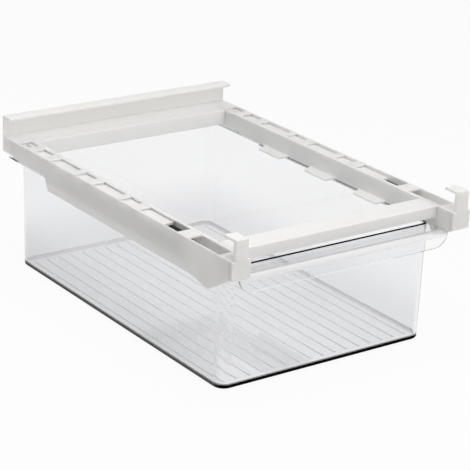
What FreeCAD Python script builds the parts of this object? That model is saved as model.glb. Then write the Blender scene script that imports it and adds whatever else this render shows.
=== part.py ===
import FreeCAD, Part
import os
import re
import Sketcher

# Hanging drawer for a fridge shelf: a white frame that hooks over the shelf's front and back
# edges, and a clear bin whose rim runs in the frame's two side rails.
# Millimetres. +X is to the right, +Y to the back and +Z up. The origin is the middle of the
# footprint, on the surface that the bin stands on. The drawer pulls out towards -Y.

SIZES = {
    # frame as a whole
    "frame_depth": 400,         # front face of the hooks to back face of the rear channel
    "frame_width": 269,         # over the outer faces of the side rails
    "fit_gap": 0.3,             # between faces that slide past each other
    # side rails: a top plate, an inner wall and an outer skirt
    "rail_width": 19.5,
    "plate_wall": 2,
    "inner_wall": 2,
    "skirt_wall": 1.5,
    "rail_setback": 19,         # back end of the rails to the back of the frame
    "notch_rise": 2.1,          # the inner wall's lower edge steps up by this
    "notch_setback": 65,        # from the back of the frame to the step
    "skirt_rear_depth": 18,     # shallow stretch of the skirt at the back
    "skirt_cover": 7.2,         # the deep stretch reaches this far below the ledge
    "skirt_step": 90,           # from the back of the frame to the deep stretch
    "skirt_step_run": 7,
    "nose_cover": 3.2,          # lowest point of the skirt, below the roller
    "nose_run": 25,             # from the lowest point back to the deep stretch
    "skirt_front_depth": 18,
    "skirt_corner": 3,
    # openings in the rail's top plate
    "window_inset": 3.9,
    "window_width": 14.1,
    "window_pitch": 79.5,
    "short_window": 21,
    "short_window_at": 162.5,   # front edge of the foremost short window
    "long_window": 39,
    "long_window_at": 191.5,    # front edge of the foremost long window
    "tip_window": 65,           # over the tips of the rear arms
    "tip_window_at": 86,
    "front_window": 47,
    "front_window_at": 22,
    "rear_window": 18,
    "rear_window_at": 353,
    # tabs on the inner wall's lower edge, just over the bin's side walls
    "tab_count": 3,
    "tab_reach": 13,
    "tab_length": 34,
    "tab_slant": 6.5,
    "tab_thick": 1.8,
    "tab_gap": 0.3,             # tab to the top of the bin
    "tab_pitch": 77.5,
    "tab_at": 96.5,
    # ledge that carries the drawer's rim, and the roller at its front end
    "ledge_thick": 2,
    "ledge_clear": 3.5,         # edge of the ledge to the inner wall
    "ledge_at": 46,
    "roller_at": 36,
    "roller_radius": 5.5,
    "roller_width": 6,
    "axle_radius": 1.75,
    "axle_play": 0.06,
    "axle_head_radius": 3,
    "axle_head_thick": 1.2,
    "boss_radius": 3.4,
    "boss_length": 3,
    # how far the drawer slides, and the rib that stops it
    "drawer_travel": 265,
    "stop_gap": 2,
    "stop_rib_at": 72,
    "stop_rib_thick": 6,
    "stop_rib_width": 5,
    "stop_lug_length": 8,
    "stop_lug_width": 4,
    "stop_lug_height": 2.8,
    # rear arms, which slide in the rails, and the rubber shoes at their tips
    "arm_tip_at": 113,
    "arm_width": 13,
    "arm_thick": 4.7,
    "arm_root": 16,
    "arm_groove": 3,
    "arm_groove_width": 6,
    "track_reach": 3,
    "track_thick": 1.6,
    "track_at": 127,
    "shoe_at": 84,
    "shoe_seat": 13,            # length of the shoe that lies under the arm
    "shoe_thick": 6.2,
    "shoe_pad_drop": 4.5,       # rail tops down to the pad ahead of the arm's tip
    "peg_radius": 2,
    "peg_height": 2.6,
    # rear channel, which hooks over the shelf's back edge
    "shelf_gap": 18,            # between the rail tops and the channel's lip
    "channel_lip": 15,
    "channel_lip_thick": 3,
    "channel_wall": 2.5,
    "channel_floor": 35,
    "channel_apron": 15.5,
    "channel_end_depth": 16,
    # front crossbar and front hooks
    "bar_at": 23,
    "bar_depth": 25,
    "bar_height": 11,
    "bar_wall": 2.5,
    "hook_plate": 4,
    "hook_plate_depth": 17.5,
    "hook_post_width": 13,
    "hook_post_thick": 4.5,
    "hook_gap": 17,
    "hook_lip": 18.5,
    "hook_lip_thick": 2.5,
    "hook_tongue": 16,
    "hook_tongue_width": 12,
    "hook_tongue_thick": 3,
    # clear drawer bin
    "bin_offset": 2.7,          # the bin's foot past the inner faces of the rails
    "bin_at": 34.1,             # front of the frame to the front of the bin's foot
    "bin_setback": 7,           # back of the bin's foot to the back of the frame
    "bin_height": 118,          # foot to rim
    "bin_draft": 0.5,           # degrees
    "bin_wall": 2.2,
    "bin_floor": 2.5,
    "bin_corner": 11.5,
    "bin_foot_radius": 2.5,
    "rim_drop": 20,             # rail tops down to the bin's rim
    "rim_thick": 2,
    "rim_side_gap": 1.8,        # side edge of the rim to the skirt
    "rim_rear": 4,              # rim past the back wall
    "rim_at": 24,               # front of the frame to the front of the side rims
    "rim_corner": 6,
    # handle lip across the bin's front
    "lip_at": 10,
    "lip_inset": 15.5,          # end of the lip to the frame's outer face
    "lip_drop": 16,
    "lip_bend": 6,
    "lip_corner": 15,
    # ribs on the bin's floor
    "rib_count": 16,
    "rib_side_inset": 9.7,      # outermost ribs to the side walls
    "rib_width": 2.4,
    "rib_height": 0.6,
    "rib_inset": 10,
}

doc = FreeCAD.newDocument("fridge_drawer_organizer")
sheet = doc.addObject("Spreadsheet::Sheet", "sizes")
for row, (alias, value) in enumerate(SIZES.items(), 1):
    sheet.set(f"A{row}", alias)
    sheet.set(f"B{row}", str(value))
    sheet.setAlias(f"B{row}", alias)
doc.recompute()

# places and sizes that several pieces share, written with the sheet's names
FRONT = "(0 - frame_depth / 2)"
BACK = "(frame_depth / 2)"
TOP = "(bin_height + rim_drop)"
OUTER = "(frame_width / 2)"
INNER = "(frame_width / 2 - rail_width)"
RAIL_START = f"({FRONT} + hook_plate)"
RAIL_END = f"({BACK} - rail_setback)"
CHANNEL = f"({INNER} + inner_wall)"
CHANNEL_END = f"({OUTER} - skirt_wall)"
CHANNEL_WIDTH = "(rail_width - inner_wall - skirt_wall)"
INNER_DEPTH = "(rim_drop - tab_gap)"
ARM_X = f"({CHANNEL} + ({CHANNEL_WIDTH} - arm_width) / 2)"
ARM_BOTTOM = f"({TOP} - plate_wall - fit_gap - arm_thick)"
TRACK_BOTTOM = f"({ARM_BOTTOM} - fit_gap - track_thick)"
LEDGE_DROP = "(rim_drop + rim_thick + fit_gap)"
ROLLER_Y = f"({FRONT} + roller_at)"
ROLLER_Z = f"({TOP} - {LEDGE_DROP} - roller_radius)"
ROLLER_X = f"({CHANNEL_END} - boss_length - fit_gap - roller_width)"

X_AXIS = FreeCAD.Vector(1, 0, 0)
Y_AXIS = FreeCAD.Vector(0, 1, 0)
Z_AXIS = FreeCAD.Vector(0, 0, 1)
FLAT = FreeCAD.Rotation()
SIDE_ON = FreeCAD.Rotation(Y_AXIS, -Z_AXIS, -X_AXIS)    # a sketch's x is to the back, its y is down


def formula(text):
    """An expression for the document, from a formula written with the sheet's names."""
    return re.sub(r"[a-z]\w*", lambda word: f"sizes.{word.group()}" if word.group() in SIZES
                  else word.group(), text)


def value_of(text):
    """The number that a formula gives with the sheet as it stands."""
    return float(sheet.evalExpression(formula(text)))


def bind(thing, **formulas):
    """Ties properties of an object to formulas."""
    for name, text in formulas.items():
        thing.setExpression(name, formula(text))


def place(thing, x, y, z):
    """Ties an object's position to three formulas."""
    for axis, text in zip("xyz", (x, y, z)):
        thing.setExpression(f"Placement.Base.{axis}", formula(text))


def box(name, x, y, z, length, width, height):
    """A block from its lowest corner and its sides along X, Y and Z."""
    block = doc.addObject("Part::Box", name)
    bind(block, Length=length, Width=width, Height=height)
    place(block, x, y, z)
    return block


def rod(name, x, y, z, radius, length):
    """A round bar that runs towards +X from its centre at x, y, z."""
    bar = doc.addObject("Part::Cylinder", name)
    bar.Placement.Rotation = FreeCAD.Rotation(Y_AXIS, 90)
    bind(bar, Radius=radius, Height=length)
    place(bar, x, y, z)
    return bar


def fuse(name, *shapes):
    """One solid from several that touch."""
    whole = doc.addObject("Part::MultiFuse", name)
    whole.Shapes = list(shapes)
    whole.Refine = True
    return whole


def cut(name, base, *tools):
    """A solid with others taken away from it."""
    rest = doc.addObject("Part::Cut", name)
    rest.Base = base
    rest.Tool = tools[0] if len(tools) == 1 else fuse(f"{name}_tools", *tools)
    rest.Refine = True
    return rest


def mirrored(name, source):
    """The left-hand twin of a right-hand piece."""
    twin = doc.addObject("Part::Mirroring", name)
    twin.Source = source
    twin.Normal = X_AXIS
    return twin


def polygon(sketch, corners):
    """Closed straight outline whose corners are tied to formulas for both coordinates."""
    spots = [FreeCAD.Vector(value_of(across), value_of(along), 0) for across, along in corners]
    for here, there in zip(spots, spots[1:] + spots[:1]):
        sketch.addGeometry(Part.LineSegment(here, there), False)
    for index in range(len(spots)):
        follower = (index + 1) % len(spots)
        sketch.addConstraint(Sketcher.Constraint("Coincident", index, 2, follower, 1))
    for index, corner in enumerate(corners):
        for kind, text in zip(("DistanceX", "DistanceY"), corner):
            number = sketch.addConstraint(
                Sketcher.Constraint(kind, -1, 1, index, 1, value_of(text)))
            sketch.setExpression(f"Constraints[{number}]", formula(text))


def rectangle(left, right, low, high):
    """The four corners of a rectangle, for a sketch."""
    return [(left, low), (right, low), (right, high), (left, high)]


def plate(name, corners, rotation, origin, thickness):
    """A flat piece: a polygon in a turned plane, pushed out along the plane's normal."""
    sketch = doc.addObject("Sketcher::SketchObject", f"{name}_outline")
    sketch.Placement.Rotation = rotation
    place(sketch, *origin)
    polygon(sketch, corners)
    slab = doc.addObject("Part::Extrusion", name)
    slab.Base = sketch
    slab.DirMode = "Normal"
    slab.Solid = True
    bind(slab, LengthFwd=thickness)
    return slab


def padded_body(name, plane, corners, offset, length, **settings):
    """A PartDesign body with one pad, from a polygon on one of the body's own planes."""
    body = doc.addObject("PartDesign::Body", name)
    sketch = body.newObject("Sketcher::SketchObject", f"{name}_outline")
    support = next(item for item in body.Origin.OriginFeatures if item.Role == plane)
    sketch.AttachmentSupport = [(support, "")]
    sketch.MapMode = "FlatFace"
    bind(sketch, **{"AttachmentOffset.Base.z": offset})
    polygon(sketch, corners)
    pad = body.newObject("PartDesign::Pad", f"{name}_pad")
    pad.Profile = sketch
    bind(pad, Length=length)
    for key, setting in settings.items():
        setattr(pad, key, setting)
    body.Tip = pad
    doc.recompute()
    return body


def round_edges(body, radius, test):
    """Fillets those edges of a body whose two ends pass a test."""
    base = body.Tip
    names = []
    for number, edge in enumerate(base.Shape.Edges, 1):
        ends = [vertex.Point for vertex in edge.Vertexes]
        if len(ends) == 2 and test(*ends):
            names.append(f"Edge{number}")
    rounding = body.newObject("PartDesign::Fillet", f"{body.Name}_rounding")
    rounding.Base = (base, names)
    bind(rounding, Radius=radius)
    body.Tip = rounding
    doc.recompute()


# ---- side rails: mouldings that hang under the shelf and carry the drawer's rim ----

def rail_skirt():
    """Outer wall of the rail: deep along the drawer's ledge, deepest round the roller."""
    end = "(frame_depth - rail_setback)"
    step = "(frame_depth - skirt_step)"
    deep = f"({LEDGE_DROP} + ledge_thick + skirt_cover)"
    corners = [("hook_plate", "0"),
               (end, "0"),
               (end, "skirt_rear_depth - skirt_corner"),
               (f"{end} - skirt_corner", "skirt_rear_depth"),
               (f"{step} + skirt_step_run", "skirt_rear_depth"),
               (step, deep),
               ("roller_at + nose_run", deep),
               ("roller_at", f"{LEDGE_DROP} + 2 * roller_radius + nose_cover"),
               ("hook_plate", "skirt_front_depth")]
    return plate("rail_skirt", corners, SIDE_ON, (OUTER, FRONT, TOP), "skirt_wall")


def rail_tabs():
    """Flat tabs that reach in from the inner wall's lower edge, over the bin's mouth."""
    tabs = []
    for index in range(int(SIZES["tab_count"])):
        corners = [("0", "0"), ("tab_reach", "0"), ("tab_reach", "tab_length + tab_slant"),
                   ("0", "tab_length")]
        origin = (f"{INNER} - tab_reach", f"{FRONT} + tab_at + {index} * tab_pitch",
                  f"{TOP} - {INNER_DEPTH}")
        tabs.append(plate(f"rail_tab_{index}", corners, FLAT, origin, "tab_thick"))
    return tabs


def rail_windows():
    """Cutters for the openings in the rail's top plate."""
    windows = [("short_window", 3), ("long_window", 2), ("tip_window", 1), ("front_window", 1),
               ("rear_window", 1)]
    return [box(f"{window}_{index}", f"{INNER} + window_inset",
                f"{FRONT} + {window}_at + {index} * window_pitch", f"{TOP} - plate_wall",
                "window_width", window, "2 * plate_wall")
            for window, count in windows for index in range(count)]


def rail():
    """The right-hand rail."""
    run = f"{RAIL_END} - {RAIL_START}"
    top_plate = box("rail_plate", INNER, RAIL_START, f"{TOP} - plate_wall", "rail_width", run,
                    "plate_wall")
    wall = box("rail_wall", INNER, RAIL_START, f"{TOP} - {INNER_DEPTH}", "inner_wall", run,
               INNER_DEPTH)
    ledge = box("rail_ledge", f"{CHANNEL} + ledge_clear", f"{FRONT} + ledge_at",
                f"{TOP} - {LEDGE_DROP} - ledge_thick", f"{CHANNEL_WIDTH} - ledge_clear",
                "frame_depth - skirt_step - ledge_at", "ledge_thick")
    tracks = [box(f"rail_track_{side}", x, f"{FRONT} + track_at", TRACK_BOTTOM, "track_reach",
                  f"{RAIL_END} - {FRONT} - track_at", "track_thick")
              for side, x in (("inner", CHANNEL), ("outer", f"{CHANNEL_END} - track_reach"))]
    rib_depth = "(rim_drop - 2 * fit_gap - plate_wall)"
    stop_rib = box("rail_stop_rib", CHANNEL, f"{FRONT} + stop_rib_at",
                   f"{TOP} - plate_wall - {rib_depth}", "stop_rib_width", "stop_rib_thick",
                   rib_depth)
    boss = rod("rail_boss", f"{CHANNEL_END} - boss_length", ROLLER_Y, ROLLER_Z, "boss_radius",
               "boss_length + skirt_wall / 2")
    body = fuse("rail_body", top_plate, wall, rail_skirt(), ledge, *tracks, stop_rib, boss,
                *rail_tabs())
    notch = box("rail_notch", INNER, f"{BACK} - notch_setback", f"{TOP} - {INNER_DEPTH}",
                "inner_wall", "notch_setback", "notch_rise")
    bore = rod("rail_axle_bore", f"{CHANNEL_END} - boss_length", ROLLER_Y, ROLLER_Z, "axle_radius",
               "boss_length")
    return cut("rail_right", body, *rail_windows(), notch, bore)


rail_right = rail()
rail_left = mirrored("rail_left", rail_right)


# ---- rollers: wheels under the rim at the front of each rail, on push-in axles ----

def roller():
    """The right-hand roller, a wheel with a running bore."""
    wheel = rod("roller_wheel", ROLLER_X, ROLLER_Y, ROLLER_Z, "roller_radius", "roller_width")
    bore = rod("roller_bore", ROLLER_X, ROLLER_Y, ROLLER_Z, "axle_radius + axle_play",
               "roller_width")
    return cut("roller_right", wheel, bore)


def roller_axle():
    """The right-hand axle: a headed pin pressed into the rail's boss."""
    head_x = f"({ROLLER_X} - fit_gap - axle_head_thick)"
    head = rod("axle_head", head_x, ROLLER_Y, ROLLER_Z, "axle_head_radius", "axle_head_thick")
    stem = rod("axle_stem", head_x, ROLLER_Y, ROLLER_Z, "axle_radius", f"{CHANNEL_END} - {head_x}")
    return fuse("roller_axle_right", head, stem)


roller_right = roller()
roller_left = mirrored("roller_left", roller_right)
roller_axle_right = roller_axle()
roller_axle_left = mirrored("roller_axle_left", roller_axle_right)


# ---- front crossbar: an upturned trough between the rails, flush with their tops ----

def crossbar():
    """The bar that ties the rails together at the front."""
    length = f"2 * {INNER}"
    top = box("bar_top", f"0 - {INNER}", f"{FRONT} + bar_at", f"{TOP} - bar_wall", length,
              "bar_depth", "bar_wall")
    sides = (("front", f"{FRONT} + bar_at"), ("rear", f"{FRONT} + bar_at + bar_depth - bar_wall"))
    flanges = [box(f"bar_{side}", f"0 - {INNER}", y, f"{TOP} - bar_height", length, "bar_wall",
                   "bar_height") for side, y in sides]
    return fuse("front_crossbar", top, *flanges)


front_crossbar = crossbar()


# ---- front hooks: an end plate on each rail, with a post and a lip over the shelf's edge ----

def hook():
    """The right-hand hook. Its tongue lies under the rail's top plate."""
    post_x = f"{OUTER} - rail_width / 2 - hook_post_width / 2"
    end_plate = box("hook_end_plate", INNER, FRONT, f"{TOP} - hook_plate_depth", "rail_width",
                    "hook_plate", "hook_plate_depth")
    post = box("hook_post", post_x, FRONT, TOP, "hook_post_width", "hook_post_thick",
               "hook_gap + hook_lip_thick")
    lip = box("hook_lip_bar", post_x, FRONT, f"{TOP} + hook_gap", "hook_post_width", "hook_lip",
              "hook_lip_thick")
    tongue = box("hook_tongue_bar", f"{CHANNEL} + ({CHANNEL_WIDTH} - hook_tongue_width) / 2",
                 RAIL_START, f"{TOP} - plate_wall - hook_tongue_thick", "hook_tongue_width",
                 "hook_tongue", "hook_tongue_thick")
    return fuse("front_hook_right", end_plate, post, lip, tongue)


front_hook_right = hook()
front_hook_left = mirrored("front_hook_left", front_hook_right)


# ---- rear arms: flat bars that slide under the rails' top plates ----

PEG_Y = f"({FRONT} + arm_tip_at + shoe_seat / 2)"
PEG_X = f"({ARM_X} + arm_width / 2)"


def shoe_peg(name):
    """The upright peg of the shoe, which is also the cutter for its hole in the arm."""
    peg = doc.addObject("Part::Cylinder", name)
    bind(peg, Radius="peg_radius", Height="peg_height")
    place(peg, PEG_X, PEG_Y, ARM_BOTTOM)
    return peg


def arm():
    """The right-hand arm, with a groove under the rail's rear window."""
    start = f"({FRONT} + arm_tip_at)"
    bar = box("arm_bar", ARM_X, start, ARM_BOTTOM, "arm_width", f"{RAIL_END} + arm_root - {start}",
              "arm_thick")
    groove = box("arm_groove_cut", f"{PEG_X} - arm_groove_width / 2", f"{FRONT} + rear_window_at",
                 f"{ARM_BOTTOM} + arm_thick - arm_groove", "arm_groove_width", "rear_window",
                 "arm_groove")
    return cut("rear_arm_right", bar, groove, shoe_peg("arm_peg_hole"))


rear_arm_right = arm()
rear_arm_left = mirrored("rear_arm_left", rear_arm_right)


# ---- rubber shoes: blocks pegged under the arms' tips, which grip the rails from inside ----

def shoe():
    """The right-hand shoe: a block that fills the rail, with a core and a pad on top of it."""
    start = f"({FRONT} + shoe_at)"
    length = "(arm_tip_at + shoe_seat - shoe_at)"
    seat = f"({TRACK_BOTTOM} - fit_gap)"
    core_x = f"{CHANNEL} + track_reach + fit_gap"
    core_width = f"{CHANNEL_WIDTH} - 2 * track_reach - 2 * fit_gap"
    block = box("shoe_block", f"{CHANNEL} + fit_gap", start, f"{seat} - shoe_thick",
                f"{CHANNEL_WIDTH} - 2 * fit_gap", length, "shoe_thick")
    core = box("shoe_core", core_x, start, seat, core_width, length, f"{ARM_BOTTOM} - {seat}")
    pad = box("shoe_pad", core_x, start, ARM_BOTTOM, core_width, "arm_tip_at - fit_gap - shoe_at",
              f"{TOP} - shoe_pad_drop - {ARM_BOTTOM}")
    return fuse("arm_shoe_right", block, core, pad, shoe_peg("shoe_peg"))


arm_shoe_right = shoe()
arm_shoe_left = mirrored("arm_shoe_left", arm_shoe_right)


# ---- rear channel: a full-width C section for the shelf's back edge, with the arms' sockets ----

def channel():
    """The rear channel, its apron between the rails and its two end blocks."""
    foot = f"({TOP} - channel_end_depth)"
    half = f"({INNER} - fit_gap)"
    block_start = f"({RAIL_END} + fit_gap)"
    wall = box("channel_back", f"0 - {OUTER}", f"{BACK} - channel_wall", foot, "frame_width",
               "channel_wall", "channel_end_depth + shelf_gap + channel_lip_thick")
    lip = box("channel_lip_bar", f"0 - {OUTER}", f"{BACK} - channel_lip", f"{TOP} + shelf_gap",
              "frame_width", "channel_lip", "channel_lip_thick")
    floor = box("channel_floor_plate", f"0 - {half}", f"{BACK} - channel_floor",
                f"{TOP} - plate_wall", f"2 * {half}", "channel_floor", "plate_wall")
    apron = box("channel_apron_plate", f"0 - {half}", f"{BACK} - channel_floor",
                f"{TOP} - channel_apron", f"2 * {half}", "channel_wall", "channel_apron")
    blocks = [box(f"channel_block_{side}", x, block_start, foot, f"{OUTER} - {half}",
                  f"{BACK} - {block_start}", "channel_end_depth")
              for side, x in (("right", half), ("left", f"0 - {OUTER}"))]
    sockets = [box(f"channel_socket_{side}", x, block_start, ARM_BOTTOM, "arm_width",
                   "arm_root - fit_gap", "arm_thick")
               for side, x in (("right", ARM_X), ("left", f"0 - {ARM_X} - arm_width"))]
    return cut("rear_channel", fuse("channel_body", wall, lip, floor, apron, *blocks), *sockets)


rear_channel = channel()


# ---- drawer bin: clear, moulded in one piece with its rim, floor ribs, stop lugs and handle ----

BIN_SIDE = f"({INNER} + bin_offset)"
BIN_FRONT = f"({FRONT} + bin_at)"
BIN_BACK = f"({BACK} - bin_setback)"
RIM_SIDE = f"({CHANNEL_END} - rim_side_gap)"
LIP_SIDE = f"({OUTER} - lip_inset)"
RIM_BOTTOM = "(bin_height - rim_thick)"


def drafted_tub(name, inset, bottom, corner, foot):
    """A block whose sides lean out by the draft, from an inset and the height of its bottom."""
    lean = f"({bottom} * tan(bin_draft * 1deg))"
    corners = rectangle(f"{inset} - {BIN_SIDE} - {lean}", f"{BIN_SIDE} - {inset} + {lean}",
                        f"{BIN_FRONT} + {inset} - {lean}", f"{BIN_BACK} - {inset} + {lean}")
    body = padded_body(name, "XY_Plane", corners, bottom, f"bin_height - {bottom}")
    bind(body.Tip, TaperAngle="bin_draft")
    doc.recompute()
    half_height = value_of("bin_height / 2")
    round_edges(body, corner, lambda one, other: abs(one.z - other.z) > half_height)
    round_edges(body, foot, lambda one, other: max(one.z, other.z) < half_height)
    return body


def rim():
    """Flat rim along the sides and the back, which runs on the ledges and the rollers."""
    corners = rectangle(f"0 - {RIM_SIDE}", RIM_SIDE, f"{FRONT} + rim_at", f"{BIN_BACK} + rim_rear")
    body = padded_body("bin_rim", "XY_Plane", corners, RIM_BOTTOM, "rim_thick")
    round_edges(body, "rim_corner", lambda one, other: abs(one.z - other.z) > 1)
    return body


def handle():
    """Lip that runs forward from the rim and turns down, with two large lower corners."""
    start = f"{FRONT} + lip_at"
    low = "(bin_height - lip_drop)"
    profile = [(start, low), (f"{start} + rim_thick", low), (f"{start} + rim_thick", RIM_BOTTOM),
               (f"{BIN_FRONT} + bin_wall", RIM_BOTTOM), (f"{BIN_FRONT} + bin_wall", "bin_height"),
               (start, "bin_height")]
    lip = padded_body("lip_section", "YZ_Plane", profile, "0", f"2 * {LIP_SIDE}", Midplane=True)
    outer_y = value_of(start)
    inner_y = value_of(f"{start} + rim_thick")
    top = value_of("bin_height")
    under = value_of(RIM_BOTTOM)
    round_edges(lip, "lip_bend", lambda one, other: abs(one.x - other.x) > 1
                and abs(one.y - outer_y) < 0.01 and abs(one.z - top) < 0.01)
    round_edges(lip, "lip_bend - rim_thick", lambda one, other: abs(one.x - other.x) > 1
                and abs(one.y - inner_y) < 0.01 and abs(one.z - under) < 0.01)

    shield = padded_body("lip_shield", "XZ_Plane",
                         rectangle(f"0 - {LIP_SIDE}", LIP_SIDE, low, "bin_height + lip_corner"),
                         f"0 - {BIN_FRONT} - bin_wall", f"{BIN_FRONT} + bin_wall - ({start})")
    floor_z = value_of(low)
    round_edges(shield, "lip_corner", lambda one, other: abs(one.y - other.y) > 1
                and max(one.z, other.z) < floor_z + 0.01)
    common = doc.addObject("Part::Common", "bin_handle")
    common.Base = lip
    common.Tool = shield
    return common


def floor_ribs():
    """Low ribs along the bin's floor."""
    half_row = f"({BIN_SIDE} - bin_wall - rib_side_inset)"
    pitch = f"2 * {half_row} / (rib_count - 1)"
    clear = "(bin_wall + rib_inset)"
    return [box(f"bin_rib_{index}", f"{index} * {pitch} - {half_row} - rib_width / 2",
                f"{BIN_FRONT} + {clear}", "bin_floor - fit_gap", "rib_width",
                f"{BIN_BACK} - {BIN_FRONT} - 2 * {clear}", "rib_height + fit_gap")
            for index in range(int(SIZES["rib_count"]))]


def stop_lugs():
    """Lugs on the rim that meet the rails' stop ribs when the drawer is right out."""
    y = f"{FRONT} + stop_rib_at + stop_rib_thick + stop_gap + drawer_travel"
    near = f"({CHANNEL} + 2 * fit_gap)"
    return [box(f"bin_lug_{side}", x, y, "bin_height", "stop_lug_width", "stop_lug_length",
                "stop_lug_height")
            for side, x in (("right", near), ("left", f"0 - {near} - stop_lug_width"))]


tub = drafted_tub("bin_tub", "0", "0", "bin_corner", "bin_foot_radius")
cavity = drafted_tub("bin_cavity", "bin_wall", "bin_floor", "bin_corner - bin_wall",
                     "bin_foot_radius")
shell = cut("bin_shell", fuse("bin_outside", tub, rim(), handle()), cavity)
drawer_bin = fuse("drawer_bin", shell, *floor_ribs(), *stop_lugs())


# ---- check every piece and write it ----

NODES = [rail_right, rail_left, front_crossbar, front_hook_right, front_hook_left,
         roller_axle_right, roller_axle_left, roller_right, roller_left,
         rear_channel, rear_arm_right, rear_arm_left, arm_shoe_right, arm_shoe_left, drawer_bin]

doc.recompute()
for item in doc.Objects:
    if "Invalid" in item.State or "Error" in item.State:
        raise RuntimeError(f"{item.Name} did not build")

os.makedirs("parts", exist_ok=True)
for node in NODES:
    node.Label = node.Name
    if node.Shape.isNull() or not node.Shape.isValid() or len(node.Shape.Solids) != 1:
        raise RuntimeError(f"{node.Label} is not one sound solid")
    node.Shape.exportStep(f"parts/{node.Label}.step")
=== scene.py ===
import math

import bmesh
import bpy
from mathutils import Matrix, Vector


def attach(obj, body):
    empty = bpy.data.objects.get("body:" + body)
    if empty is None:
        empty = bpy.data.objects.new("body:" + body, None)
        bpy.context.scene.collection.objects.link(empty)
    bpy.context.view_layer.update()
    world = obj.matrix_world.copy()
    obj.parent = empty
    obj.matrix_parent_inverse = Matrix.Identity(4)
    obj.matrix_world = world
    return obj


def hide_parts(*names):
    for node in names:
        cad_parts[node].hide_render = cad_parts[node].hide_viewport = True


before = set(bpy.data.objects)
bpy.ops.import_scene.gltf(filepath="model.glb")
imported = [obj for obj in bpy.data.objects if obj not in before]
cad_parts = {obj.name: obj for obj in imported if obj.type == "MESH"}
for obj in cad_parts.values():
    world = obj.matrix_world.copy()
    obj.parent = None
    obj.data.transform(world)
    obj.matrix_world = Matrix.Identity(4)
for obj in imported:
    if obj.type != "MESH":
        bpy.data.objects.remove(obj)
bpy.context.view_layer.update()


# ---- side rails ----
# Each rail is one white ABS moulding: a top plate with windows, an inner wall with tabs and a
# deep outer skirt. It hangs under the shelf, and the bin's rim runs inside it on a ledge.
# The mould leaves a small radius on every edge and a fine satin grain on every face.

SHARP = math.radians(28)    # an edge that turns more than this is an edge of the moulding
FLAT = math.radians(1)      # faces that turn less than this are one flat face
MERGE = 0.000002            # corners that lie this close are one corner
SLIVER = 0.000001           # an edge shorter than this is dropped
MOULD_RADIUS = 0.0005
ROUND_STEPS = 2             # faces across a rounded edge
NOISE_LOW = 0.3             # a noise lies between these almost everywhere
NOISE_HIGH = 0.7
ABS_WHITE = (0.91, 0.905, 0.89)
ABS_SHADE = (0.89, 0.885, 0.87)


def shader(name, base_color, roughness):
    """A new material with its Principled node, both ready for more nodes."""
    material = bpy.data.materials.new(name)
    material.use_nodes = True
    principled = material.node_tree.nodes["Principled BSDF"]
    principled.inputs["Base Color"].default_value = (*base_color, 1)
    principled.inputs["Roughness"].default_value = roughness
    return material, principled


def noise_in_metres(tree, per_metre, detail):
    """Noise that stays put on the piece, with its scale in bumps per metre."""
    place = tree.nodes.new("ShaderNodeTexCoord")
    noise = tree.nodes.new("ShaderNodeTexNoise")
    noise.inputs["Scale"].default_value = per_metre
    noise.inputs["Detail"].default_value = detail
    tree.links.new(place.outputs["Object"], noise.inputs["Vector"])
    return noise.outputs["Fac"]


def add_grain(tree, principled, per_metre, strength, depth):
    """Fine moulded grain, as bump on the shader."""
    bump = tree.nodes.new("ShaderNodeBump")
    bump.inputs["Strength"].default_value = strength
    bump.inputs["Distance"].default_value = depth
    tree.links.new(noise_in_metres(tree, per_metre, detail=3), bump.inputs["Height"])
    tree.links.new(bump.outputs["Normal"], principled.inputs["Normal"])


def vary(tree, noise, socket, low, high):
    """Feeds a socket with a value that follows a noise between two limits."""
    scaled = tree.nodes.new("ShaderNodeMapRange")
    scaled.inputs["From Min"].default_value = NOISE_LOW
    scaled.inputs["From Max"].default_value = NOISE_HIGH
    scaled.inputs["To Min"].default_value = low
    scaled.inputs["To Max"].default_value = high
    tree.links.new(noise, scaled.inputs["Value"])
    tree.links.new(scaled.outputs["Result"], socket)


def two_tone(tree, factor, first, second, socket):
    """Feeds a colour socket with a mix of two colours."""
    tint = tree.nodes.new("ShaderNodeMix")
    tint.data_type = "RGBA"
    tint.inputs["A"].default_value = (*first, 1)
    tint.inputs["B"].default_value = (*second, 1)
    tree.links.new(factor, tint.inputs["Factor"])
    tree.links.new(tint.outputs["Result"], socket)


def white_abs():
    """Satin white ABS, a little cloudy, which lets some light in under its skin."""
    material, principled = shader("white_abs", ABS_WHITE, roughness=0.42)
    tree = material.node_tree
    principled.inputs["Subsurface Weight"].default_value = 0.8
    principled.inputs["Subsurface Radius"].default_value = (1.0, 0.98, 0.9)
    principled.inputs["Subsurface Scale"].default_value = 0.005
    add_grain(tree, principled, per_metre=2600, strength=0.12, depth=0.00004)
    cloud = noise_in_metres(tree, per_metre=22, detail=2)
    two_tone(tree, cloud, ABS_WHITE, ABS_SHADE, principled.inputs["Base Color"])
    vary(tree, cloud, principled.inputs["Roughness"], low=0.38, high=0.48)
    return material


def merged_copy(node):
    """The CAD piece as one joined mesh, with its flat faces whole."""
    shape = bmesh.new()
    shape.from_mesh(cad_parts[node].data)
    bmesh.ops.remove_doubles(shape, verts=shape.verts, dist=MERGE)
    bmesh.ops.dissolve_limit(shape, angle_limit=FLAT, verts=shape.verts,
                             edges=shape.edges, use_dissolve_boundaries=False)
    return shape


def round_edges(shape, radius, above=-1):
    """Rounds the sharp edges that reach over a height, and smooths every face."""
    sharp = [edge for edge in shape.edges
             if edge.is_manifold and edge.calc_face_angle(0) > SHARP
             and edge.calc_length() > radius and max(vert.co.z for vert in edge.verts) > above]
    bmesh.ops.bevel(shape, geom=sharp, offset=radius, offset_type="OFFSET", affect="EDGES",
                    segments=ROUND_STEPS, profile=0.5, material=-1, clamp_overlap=True)
    bmesh.ops.dissolve_degenerate(shape, dist=SLIVER, edges=shape.edges)
    for face in shape.faces:
        face.smooth = True


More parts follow.
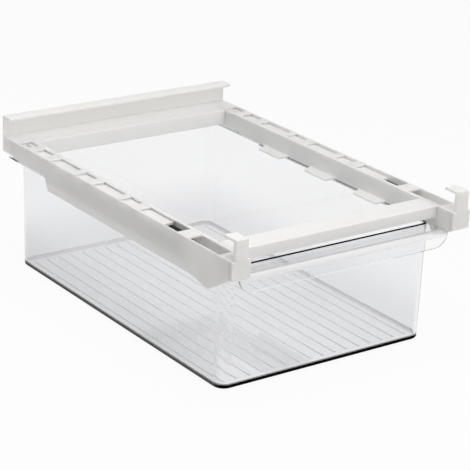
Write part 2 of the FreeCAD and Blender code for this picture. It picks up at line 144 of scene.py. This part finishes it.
def rounded_copy(node, radius=MOULD_RADIUS):
    """The CAD piece as one joined mesh, with its sharp edges rounded."""
    shape = merged_copy(node)
    round_edges(shape, radius)
    return shape


def dress(shape, node, body, slot, *materials):
    """Turns a finished shape into the piece that is shown for a CAD node."""
    mesh = bpy.data.meshes.new(f"{node}_moulded")
    shape.to_mesh(mesh)
    shape.free()
    for material in materials:
        mesh.materials.append(material)
    piece = bpy.data.objects.new(f"{node}_moulded", mesh)
    bpy.context.scene.collection.objects.link(piece)
    flat = piece.modifiers.new("flat_faces", "WEIGHTED_NORMAL")
    flat.mode = "FACE_AREA"
    flat.weight = 100
    flat.keep_sharp = True
    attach(piece, body)
    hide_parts(node)


abs_plastic = white_abs()
for side in ("left", "right"):
    dress(rounded_copy(f"rail_{side}"), f"rail_{side}", "front_frame", "frame_plastic",
          abs_plastic)


# ---- front crossbar ----
# An upturned ABS trough that ties the two rails together and keeps them square. It is moulded
# on its own and snaps in between the rails, flush with their tops.

dress(rounded_copy("front_crossbar"), "front_crossbar", "front_frame", "frame_plastic",
      abs_plastic)


# ---- front hooks ----
# Two ABS end pieces, each pushed into the front of its rail by a tongue. The post and the lip
# on top reach round the front edge of the fridge shelf and carry half of the load.

for side in ("left", "right"):
    dress(rounded_copy(f"front_hook_{side}"), f"front_hook_{side}", "front_frame",
          "frame_plastic", abs_plastic)


# ---- rollers and their axles ----
# A small turned acetal wheel runs under the bin's rim at the front of each rail. It turns on a
# bright steel pin with a flat head, which is pressed into a boss on the skirt.

WHEEL_ROUNDING = 0.0003
PIN_ROUNDING = 0.0002
ACETAL_WHITE = (0.8, 0.79, 0.76)
STEEL_GREY = (0.7, 0.7, 0.69)

acetal, acetal_shader = shader("roller_acetal", ACETAL_WHITE, roughness=0.3)
add_grain(acetal.node_tree, acetal_shader, per_metre=1500, strength=0.1, depth=0.00003)
vary(acetal.node_tree, noise_in_metres(acetal.node_tree, per_metre=300, detail=2),
     acetal_shader.inputs["Roughness"], low=0.25, high=0.38)
steel, steel_shader = shader("axle_steel", STEEL_GREY, roughness=0.25)
steel_shader.inputs["Metallic"].default_value = 1
vary(steel.node_tree, noise_in_metres(steel.node_tree, per_metre=900, detail=3),
     steel_shader.inputs["Roughness"], low=0.18, high=0.34)
for side in ("left", "right"):
    dress(rounded_copy(f"roller_{side}", WHEEL_ROUNDING), f"roller_{side}",
          f"roller_wheel_{side}", "roller_plastic", acetal)
    dress(rounded_copy(f"roller_axle_{side}", PIN_ROUNDING), f"roller_axle_{side}",
          "front_frame", "axle_steel", steel)


# ---- rear arms ----
# Flat ABS bars that slide in the rails, so that the frame fits shelves of different depths.
# Each one is glued into a socket of the rear channel.

for side in ("left", "right"):
    dress(rounded_copy(f"rear_arm_{side}"), f"rear_arm_{side}", "rear_frame", "frame_plastic",
          abs_plastic)


# ---- rubber shoes ----
# Black rubber blocks, moulded in one piece with a peg that plugs into the arm's tip. They rub
# on the rail from inside and hold the chosen depth.

RUBBER_BLACK = (0.012, 0.012, 0.012)

rubber, rubber_shader = shader("shoe_rubber", RUBBER_BLACK, roughness=0.7)
rubber_shader.inputs["Specular IOR Level"].default_value = 0.15
add_grain(rubber.node_tree, rubber_shader, per_metre=1800, strength=0.35, depth=0.0001)
vary(rubber.node_tree, noise_in_metres(rubber.node_tree, per_metre=120, detail=2),
     rubber_shader.inputs["Roughness"], low=0.6, high=0.8)
for side in ("left", "right"):
    dress(rounded_copy(f"arm_shoe_{side}"), f"arm_shoe_{side}", "rear_frame", "shoe_rubber",
          rubber)


# ---- rear channel ----
# A full-width ABS section with a lip that hooks over the back edge of the shelf. Its apron
# closes the frame behind the bin, and its end blocks take the arms.

dress(rounded_copy("rear_channel"), "rear_channel", "rear_frame", "frame_plastic",
      abs_plastic)


# ---- drawer bin ----
# Clear polystyrene, moulded in one piece: thin drafted walls, a ribbed floor, the rim that runs
# in the rails and a turned-down handle. Where the wall meets the foot, and along the mouth
# behind the handle, the dark edge that light trapped in the plastic shows is painted on. The
# fillet inside the foot, the ribs' flanks and the handle's bend carry painted highlights, and
# the plastic is painted greyer low down and lighter at the front.

BIN_ROUNDING = 0.0004       # on the sharp edges that lie over the foot and the ribs
BIN_FLOOR = 0.0025          # thickness of the floor
RIB_TOP = 0.0031            # height of the floor's ribs over the foot
RIB_CROWN = 0.6             # width of a rib's top, as a share of its foot
FOOT_BAND = 0.0042          # height of the painted dark edge round the foot
CORNER_DEPTH = 0.004        # the rounded corners stay this close to the bin's sides
FILLET_TOP = 0.0055         # the fillet inside the foot ends below this
FILLET_DEPTH = 0.009        # and stays this close to the bin's sides
RIM_TOP = 0.118
LIP_BEND = 0.006            # outer radius of the handle's bend
LIP_BEND_AT = 0.017         # from the bin's front to the bend
MOUTH_Y = -0.1647           # front edge of the bin's mouth
MOUTH_END = 0.112           # where the mouth's corners start
MOUTH_STRIP = 0.003         # width of the painted dark edge on top of the rim
MOUTH_BAND = 0.002          # depth of the painted dark edge inside the mouth
MOUTH_REACH = 0.012         # how far it runs back from the bin's front, round the corners

PAINTED_SHADE_HEIGHT = 0.07          # painted shade: the plastic is painted greyer below this
PAINTED_LIGHT_FROM = -0.155         # ahead of here painted light makes the front wall and the handle clearer
PAINTED_LIGHT_TO = -0.162           # and from here on they stay so
PAINTED_LOW_SHADE = (0.815, 0.816, 0.826)
WALL_TINT = (0.957, 0.958, 0.965)
PAINTED_FRONT_LIGHT = (0.985, 0.985, 0.992)
DEPTH_TINT = (0.93, 0.935, 0.94)
SHADOW_TINT = (0.97, 0.972, 0.975)
# painted dark edges: near black, and greyer round the foot's sides and back
PAINTED_EDGE_BLACK = (0.006, 0.006, 0.006)
PAINTED_EDGE_GREY = (0.14, 0.15, 0.145)
STYRENE_IOR = 1.5

FOOT, FILLET, FLANK, BEND, MOUTH = range(1, 6)    # material slots for the painted dark edges and painted highlights, after the clear one

LEVEL_GAP = 0.0001          # a face this close to a height lies on it
RIB_GAP = 0.0002            # the same for the tops of the ribs
RIB_FACES_UP = 0.99         # a rib's top faces up more than this
FLANK_FACES_UP = 0.95       # a rib's flank faces up less than this
FLOOR_FACES_UP = 0.995      # the flat floor beside the fillet faces up more than this
FOOT_FACES_OUT = 0.001      # the foot's outer faces turn outward more than this
MOUTH_FACES_BACK = 0.2      # the mouth's front face turns to the back more than this
LEANS = 0.02                # the fillet and the bend lean more than this


def let_light_through(tree, principled):
    """Makes the plastic plainly see-through to shadows and to light off the matte faces."""
    rays = tree.nodes.new("ShaderNodeLightPath")
    passing = tree.nodes.new("ShaderNodeMath")
    passing.operation = "MAXIMUM"
    tree.links.new(rays.outputs["Is Shadow Ray"], passing.inputs[0])
    tree.links.new(rays.outputs["Is Diffuse Ray"], passing.inputs[1])
    see_through = tree.nodes.new("ShaderNodeBsdfTransparent")
    see_through.inputs["Color"].default_value = (*SHADOW_TINT, 1)
    mix = tree.nodes.new("ShaderNodeMixShader")
    tree.links.new(passing.outputs[0], mix.inputs["Fac"])
    tree.links.new(principled.outputs["BSDF"], mix.inputs[1])
    tree.links.new(see_through.outputs["BSDF"], mix.inputs[2])
    tree.links.new(mix.outputs["Shader"], tree.nodes["Material Output"].inputs["Surface"])


def clear_styrene():
    """Clear plastic: painted greyer near the foot, greyer where it is thick, painted clearer at
    the front.
    """
    material, principled = shader("clear_styrene", WALL_TINT, roughness=0)
    tree = material.node_tree
    place = tree.nodes.new("ShaderNodeTexCoord")
    split = tree.nodes.new("ShaderNodeSeparateXYZ")
    tree.links.new(place.outputs["Object"], split.inputs["Vector"])
    height = tree.nodes.new("ShaderNodeMapRange")
    height.interpolation_type = "SMOOTHSTEP"
    height.inputs["From Min"].default_value = RIB_TOP
    height.inputs["From Max"].default_value = PAINTED_SHADE_HEIGHT
    tree.links.new(split.outputs["Z"], height.inputs["Value"])
    to_front = tree.nodes.new("ShaderNodeMapRange")
    to_front.inputs["From Min"].default_value = PAINTED_LIGHT_FROM
    to_front.inputs["From Max"].default_value = PAINTED_LIGHT_TO
    tree.links.new(split.outputs["Y"], to_front.inputs["Value"])
    # painted shade greys the plastic low down, and painted light clears it at the front
    painted_light_mix = tree.nodes.new("ShaderNodeMix")
    painted_light_mix.data_type = "RGBA"
    painted_light_mix.inputs["B"].default_value = (*PAINTED_FRONT_LIGHT, 1)
    tree.links.new(to_front.outputs["Result"], painted_light_mix.inputs["Factor"])
    two_tone(tree, height.outputs["Result"], PAINTED_LOW_SHADE, WALL_TINT, painted_light_mix.inputs["A"])
    tree.links.new(painted_light_mix.outputs["Result"], principled.inputs["Base Color"])
    principled.inputs["Transmission Weight"].default_value = 1
    principled.inputs["IOR"].default_value = STYRENE_IOR
    depth = tree.nodes.new("ShaderNodeVolumeAbsorption")
    depth.inputs["Color"].default_value = (*DEPTH_TINT, 1)
    depth.inputs["Density"].default_value = 200
    tree.links.new(depth.outputs["Volume"], tree.nodes["Material Output"].inputs["Volume"])
    let_light_through(tree, principled)
    return material


def painted_dark_edge(name):
    """Painted near black, standing in for the dark look of an edge that traps the light."""
    material, principled = shader(name, PAINTED_EDGE_BLACK, roughness=0.3)
    principled.inputs["Specular IOR Level"].default_value = 0
    return material, principled


def painted_foot_dark():
    """The painted dark edge of the foot: painted near black to the front, greyer round the
    sides and back.
    """
    material, principled = painted_dark_edge("styrene_dark_foot_paint")
    tree = material.node_tree
    place = tree.nodes.new("ShaderNodeTexCoord")
    split = tree.nodes.new("ShaderNodeSeparateXYZ")
    tree.links.new(place.outputs["Normal"], split.inputs["Vector"])
    turn = tree.nodes.new("ShaderNodeMapRange")
    turn.inputs["From Min"].default_value = -0.5
    turn.inputs["From Max"].default_value = 0
    tree.links.new(split.outputs["Y"], turn.inputs["Value"])
    two_tone(tree, turn.outputs["Result"], PAINTED_EDGE_BLACK, PAINTED_EDGE_GREY,
             principled.inputs["Base Color"])
    return material


def styrene_with_painted_light(name, base_color, clearness):
    """Clear plastic painted partly cloudy white, as painted light: it scatters part of the
    light that it caught and lets the rest through.
    """
    material, principled = shader(name, base_color, roughness=0.25)
    principled.inputs["Transmission Weight"].default_value = clearness
    principled.inputs["IOR"].default_value = STYRENE_IOR
    add_grain(material.node_tree, principled, per_metre=900, strength=0.1, depth=0.00005)
    return material


def slope_ribs(shape):
    """Leans the sides of the floor's ribs in towards their tops, as they leave the mould."""
    for face in shape.faces[:]:
        centre = face.calc_center_median()
        if face.normal.z > RIB_FACES_UP and abs(centre.z - RIB_TOP) < RIB_GAP:
            bmesh.ops.scale(shape, vec=(RIB_CROWN, 1, 1), verts=face.verts,
                            space=Matrix.Translation(-centre))
            for edge in face.edges:
                edge.smooth = False


def cut_bands(shape):
    """Cuts the bin's faces where the painted dark edges of its foot and its mouth begin and
    end.
    """
    up = Vector((0, 0, 1))
    rearward = Vector((0, 1, 0))
    right = Vector((1, 0, 0))
    for facing, distance in ((up, FOOT_BAND), (up, RIM_TOP - MOUTH_BAND),
                             (rearward, MOUTH_Y - MOUTH_STRIP), (rearward, MOUTH_Y),
                             (right, MOUTH_END), (right, -MOUTH_END)):
        bmesh.ops.bisect_plane(shape, dist=SLIVER, plane_co=facing * distance, plane_no=facing,
                               geom=shape.verts[:] + shape.edges[:] + shape.faces[:])
    shape.normal_update()


def settle_order(shape):
    """Lists the faces by their corners, because the cuts leave them in no fixed order."""
    shape.verts.index_update()
    settled = sorted(shape.faces, key=lambda face: [vert.index for vert in face.verts])
    for place, face in enumerate(settled):
        face.index = place
    shape.faces.sort()


def paint_edges(shape):
    """Paints the dark edges of the foot and the mouth, the highlights on the fillet and the
    bend, and lines of light and shade on the ribs' flanks.
    """
    low = [vert.co for vert in shape.verts if vert.co.z < FOOT_BAND]
    half = max(point.x for point in low)
    front = min(point.y for point in low)
    back = max(point.y for point in low)
    for face in shape.faces:
        centre = face.calc_center_median()
        outward = face.normal.x * centre.x + face.normal.y * (centre.y - (front + back) / 2)
        to_side = min(half - abs(centre.x), centre.y - front, back - centre.y)
        on_foot = (centre.z < FOOT_BAND and to_side < CORNER_DEPTH
                   and outward > FOOT_FACES_OUT)
        on_fillet = (centre.z < FILLET_TOP and to_side < FILLET_DEPTH and outward < 0
                     and LEANS < face.normal.z < FLOOR_FACES_UP)
        on_flank = (BIN_FLOOR < centre.z < RIB_TOP and to_side > FILLET_DEPTH
                    and face.normal.z < FLANK_FACES_UP)
        on_bend = (centre.y < front - LIP_BEND_AT and centre.z > RIM_TOP - LIP_BEND
                   and face.normal.y < -LEANS and face.normal.z > LEANS)
        in_mouth = (RIM_TOP - MOUTH_BAND < centre.z <= RIM_TOP
                    and face.normal.y > MOUTH_FACES_BACK and centre.y - front < MOUTH_REACH)
        on_rim = (centre.z > RIM_TOP - LEVEL_GAP and abs(centre.x) < MOUTH_END
                  and MOUTH_Y - MOUTH_STRIP < centre.y < MOUTH_Y)
        if on_foot:
            face.material_index = FOOT
        elif on_fillet:
            face.material_index = FILLET
        elif on_flank:
            face.material_index = FLANK
        elif on_bend:
            face.material_index = BEND
        elif in_mouth or on_rim:
            face.material_index = MOUTH


bin_shape = merged_copy("drawer_bin")
slope_ribs(bin_shape)
round_edges(bin_shape, BIN_ROUNDING, above=RIB_TOP + LEVEL_GAP)
cut_bands(bin_shape)
settle_order(bin_shape)
paint_edges(bin_shape)
# painted highlights on the fillet and the bend, painted light and shade on the ribs' flanks
dress(bin_shape, "drawer_bin", "drawer", "clear_plastic", clear_styrene(), painted_foot_dark(),
      styrene_with_painted_light("styrene_painted_fillet_highlight", (0.95, 0.955, 0.96), clearness=0.15),
      styrene_with_painted_light("styrene_painted_flank_lines", (0.88, 0.88, 0.89), clearness=0.12),
      styrene_with_painted_light("styrene_painted_bend_highlight", (0.97, 0.973, 0.977), clearness=0.55),
      painted_dark_edge("styrene_dark_mouth_paint")[0])


# ---- floor and background ----
# A pale sheet just under the foot, which is lit like the object and keeps its shadow. The
# camera, gloss and clear plastic see it and the sky close to white. The sky lights the object
# softly, and more from the right.

FLOOR_HALF = 6              # from the middle of the sheet to its sides
FLOOR_DROP = 0.0003         # from the foot down to the sheet
FLOOR_GREY = (0.9, 0.9, 0.9)
BACKDROP_WHITE = 0.93       # share of plain white in the floor, as the camera sees it
SKY_WARM = (1, 0.98, 0.95)
SKY_ON_LEFT = 0.25          # strength of the sky's light on either side
SKY_ON_RIGHT = 0.62


def background_rays(tree):
    """One for rays that come from the camera, a mirror or clear plastic, nothing for others."""
    rays = tree.nodes.new("ShaderNodeLightPath")
    total = rays.outputs["Is Camera Ray"]
    for kind in ("Is Glossy Ray", "Is Transmission Ray"):
        add = tree.nodes.new("ShaderNodeMath")
        add.operation = "ADD"
        add.use_clamp = True
        tree.links.new(total, add.inputs[0])
        tree.links.new(rays.outputs[kind], add.inputs[1])
        total = add.outputs[0]
    return total


def studio_floor():
    """A pale matte sheet that shows close to white."""
    material = bpy.data.materials.new("studio_floor")
    material.use_nodes = True
    tree = material.node_tree
    tree.nodes.clear()
    matte = tree.nodes.new("ShaderNodeBsdfDiffuse")
    matte.inputs["Color"].default_value = (*FLOOR_GREY, 1)
    glow = tree.nodes.new("ShaderNodeEmission")
    share = tree.nodes.new("ShaderNodeMath")
    share.operation = "MULTIPLY"
    share.inputs[1].default_value = BACKDROP_WHITE
    tree.links.new(background_rays(tree), share.inputs[0])
    mix = tree.nodes.new("ShaderNodeMixShader")
    tree.links.new(share.outputs[0], mix.inputs["Fac"])
    tree.links.new(matte.outputs["BSDF"], mix.inputs[1])
    tree.links.new(glow.outputs["Emission"], mix.inputs[2])
    out = tree.nodes.new("ShaderNodeOutputMaterial")
    tree.links.new(mix.outputs["Shader"], out.inputs["Surface"])
    return material


def studio_sky():
    """A world that lights the object from one side and shows plain white behind it."""
    world = bpy.data.worlds.new("studio")
    world.use_nodes = True
    sky = world.node_tree
    soft_fill = sky.nodes["Background"]
    soft_fill.inputs["Color"].default_value = (*SKY_WARM, 1)
    aim = sky.nodes.new("ShaderNodeTexCoord")
    split = sky.nodes.new("ShaderNodeSeparateXYZ")
    sky.links.new(aim.outputs["Generated"], split.inputs["Vector"])
    slant = sky.nodes.new("ShaderNodeMapRange")
    slant.inputs["From Min"].default_value = -1
    slant.inputs["From Max"].default_value = 1
    slant.inputs["To Min"].default_value = SKY_ON_LEFT
    slant.inputs["To Max"].default_value = SKY_ON_RIGHT
    sky.links.new(split.outputs["X"], slant.inputs["Value"])
    sky.links.new(slant.outputs["Result"], soft_fill.inputs["Strength"])
    white = sky.nodes.new("ShaderNodeBackground")
    white.inputs["Color"].default_value = (1, 1, 1, 1)
    choose = sky.nodes.new("ShaderNodeMixShader")
    sky.links.new(background_rays(sky), choose.inputs["Fac"])
    sky.links.new(soft_fill.outputs["Background"], choose.inputs[1])
    sky.links.new(white.outputs["Background"], choose.inputs[2])
    sky.links.new(choose.outputs["Shader"], sky.nodes["World Output"].inputs["Surface"])
    return world


floor_mesh = bpy.data.meshes.new("floor")
sheet = bmesh.new()
bmesh.ops.create_grid(sheet, x_segments=1, y_segments=1, size=FLOOR_HALF,
                      matrix=Matrix.Translation((0, 0, -FLOOR_DROP)))
sheet.to_mesh(floor_mesh)
sheet.free()
floor_mesh.materials.append(studio_floor())
floor = bpy.data.objects.new("floor", floor_mesh)
bpy.context.scene.collection.objects.link(floor)
bpy.context.scene.world = studio_sky()


# ---- lights ----
# Three soft boxes: one high over the object, which keeps the upper faces brightest, one low in
# front, which models the sides and the handle, and one behind on the left, which lifts the rear
# end of the left rail.

LIT_POINT = Vector((0, 0, 0.1))     # all three face the bin's inside


def softbox(name, energy, size, place):
    """A square area lamp that leaves no image of itself in the clear plastic."""
    lamp = bpy.data.lights.new(name, "AREA")
    lamp.energy = energy
    lamp.size = size
    holder = bpy.data.objects.new(name, lamp)
    facing = (LIT_POINT - Vector(place)).to_track_quat("-Z", "Y").to_matrix().to_4x4()
    holder.matrix_world = Matrix.Translation(place) @ facing
    holder.visible_glossy = False
    holder.visible_transmission = False
    bpy.context.scene.collection.objects.link(holder)


softbox("top_light", energy=2.2, size=0.5, place=(-0.09, -0.15, 0.75))
softbox("front_light", energy=22, size=1.6, place=(0.9, -3.1, 1.2))
softbox("rear_light", energy=2.2, size=0.6, place=(-0.8, 0.9, 0.55))


# ---- camera ----
# It stands in front of the left corner, a little above the drawer, and far enough away for a
# calm perspective.

AZIMUTH = math.radians(-36.269)
ELEVATION = math.radians(20.731)
ROLL = math.radians(2.433)
CAMERA_PLACE = (-1.0051, -1.3881, 0.7211)
FOCAL_LENGTH = 143.69       # mm, like the sensor
SENSOR_WIDTH = 36

back = Vector((math.sin(AZIMUTH) * math.cos(ELEVATION),
               -math.cos(AZIMUTH) * math.cos(ELEVATION), math.sin(ELEVATION)))
level = Vector((0, 0, 1)).cross(back).normalized()
axes = Matrix((level, back.cross(level), back)).transposed() @ Matrix.Rotation(ROLL, 3, "Z")
lens = bpy.data.cameras.new("camera")
lens.lens = FOCAL_LENGTH
lens.sensor_width = SENSOR_WIDTH
lens.clip_start = 0.05
lens.clip_end = 30
camera = bpy.data.objects.new("camera", lens)
camera.matrix_world = Matrix.Translation(CAMERA_PLACE) @ axes.to_4x4()
bpy.context.scene.collection.objects.link(camera)
bpy.context.scene.camera = camera
bpy.context.scene.view_settings.view_transform = "Standard"
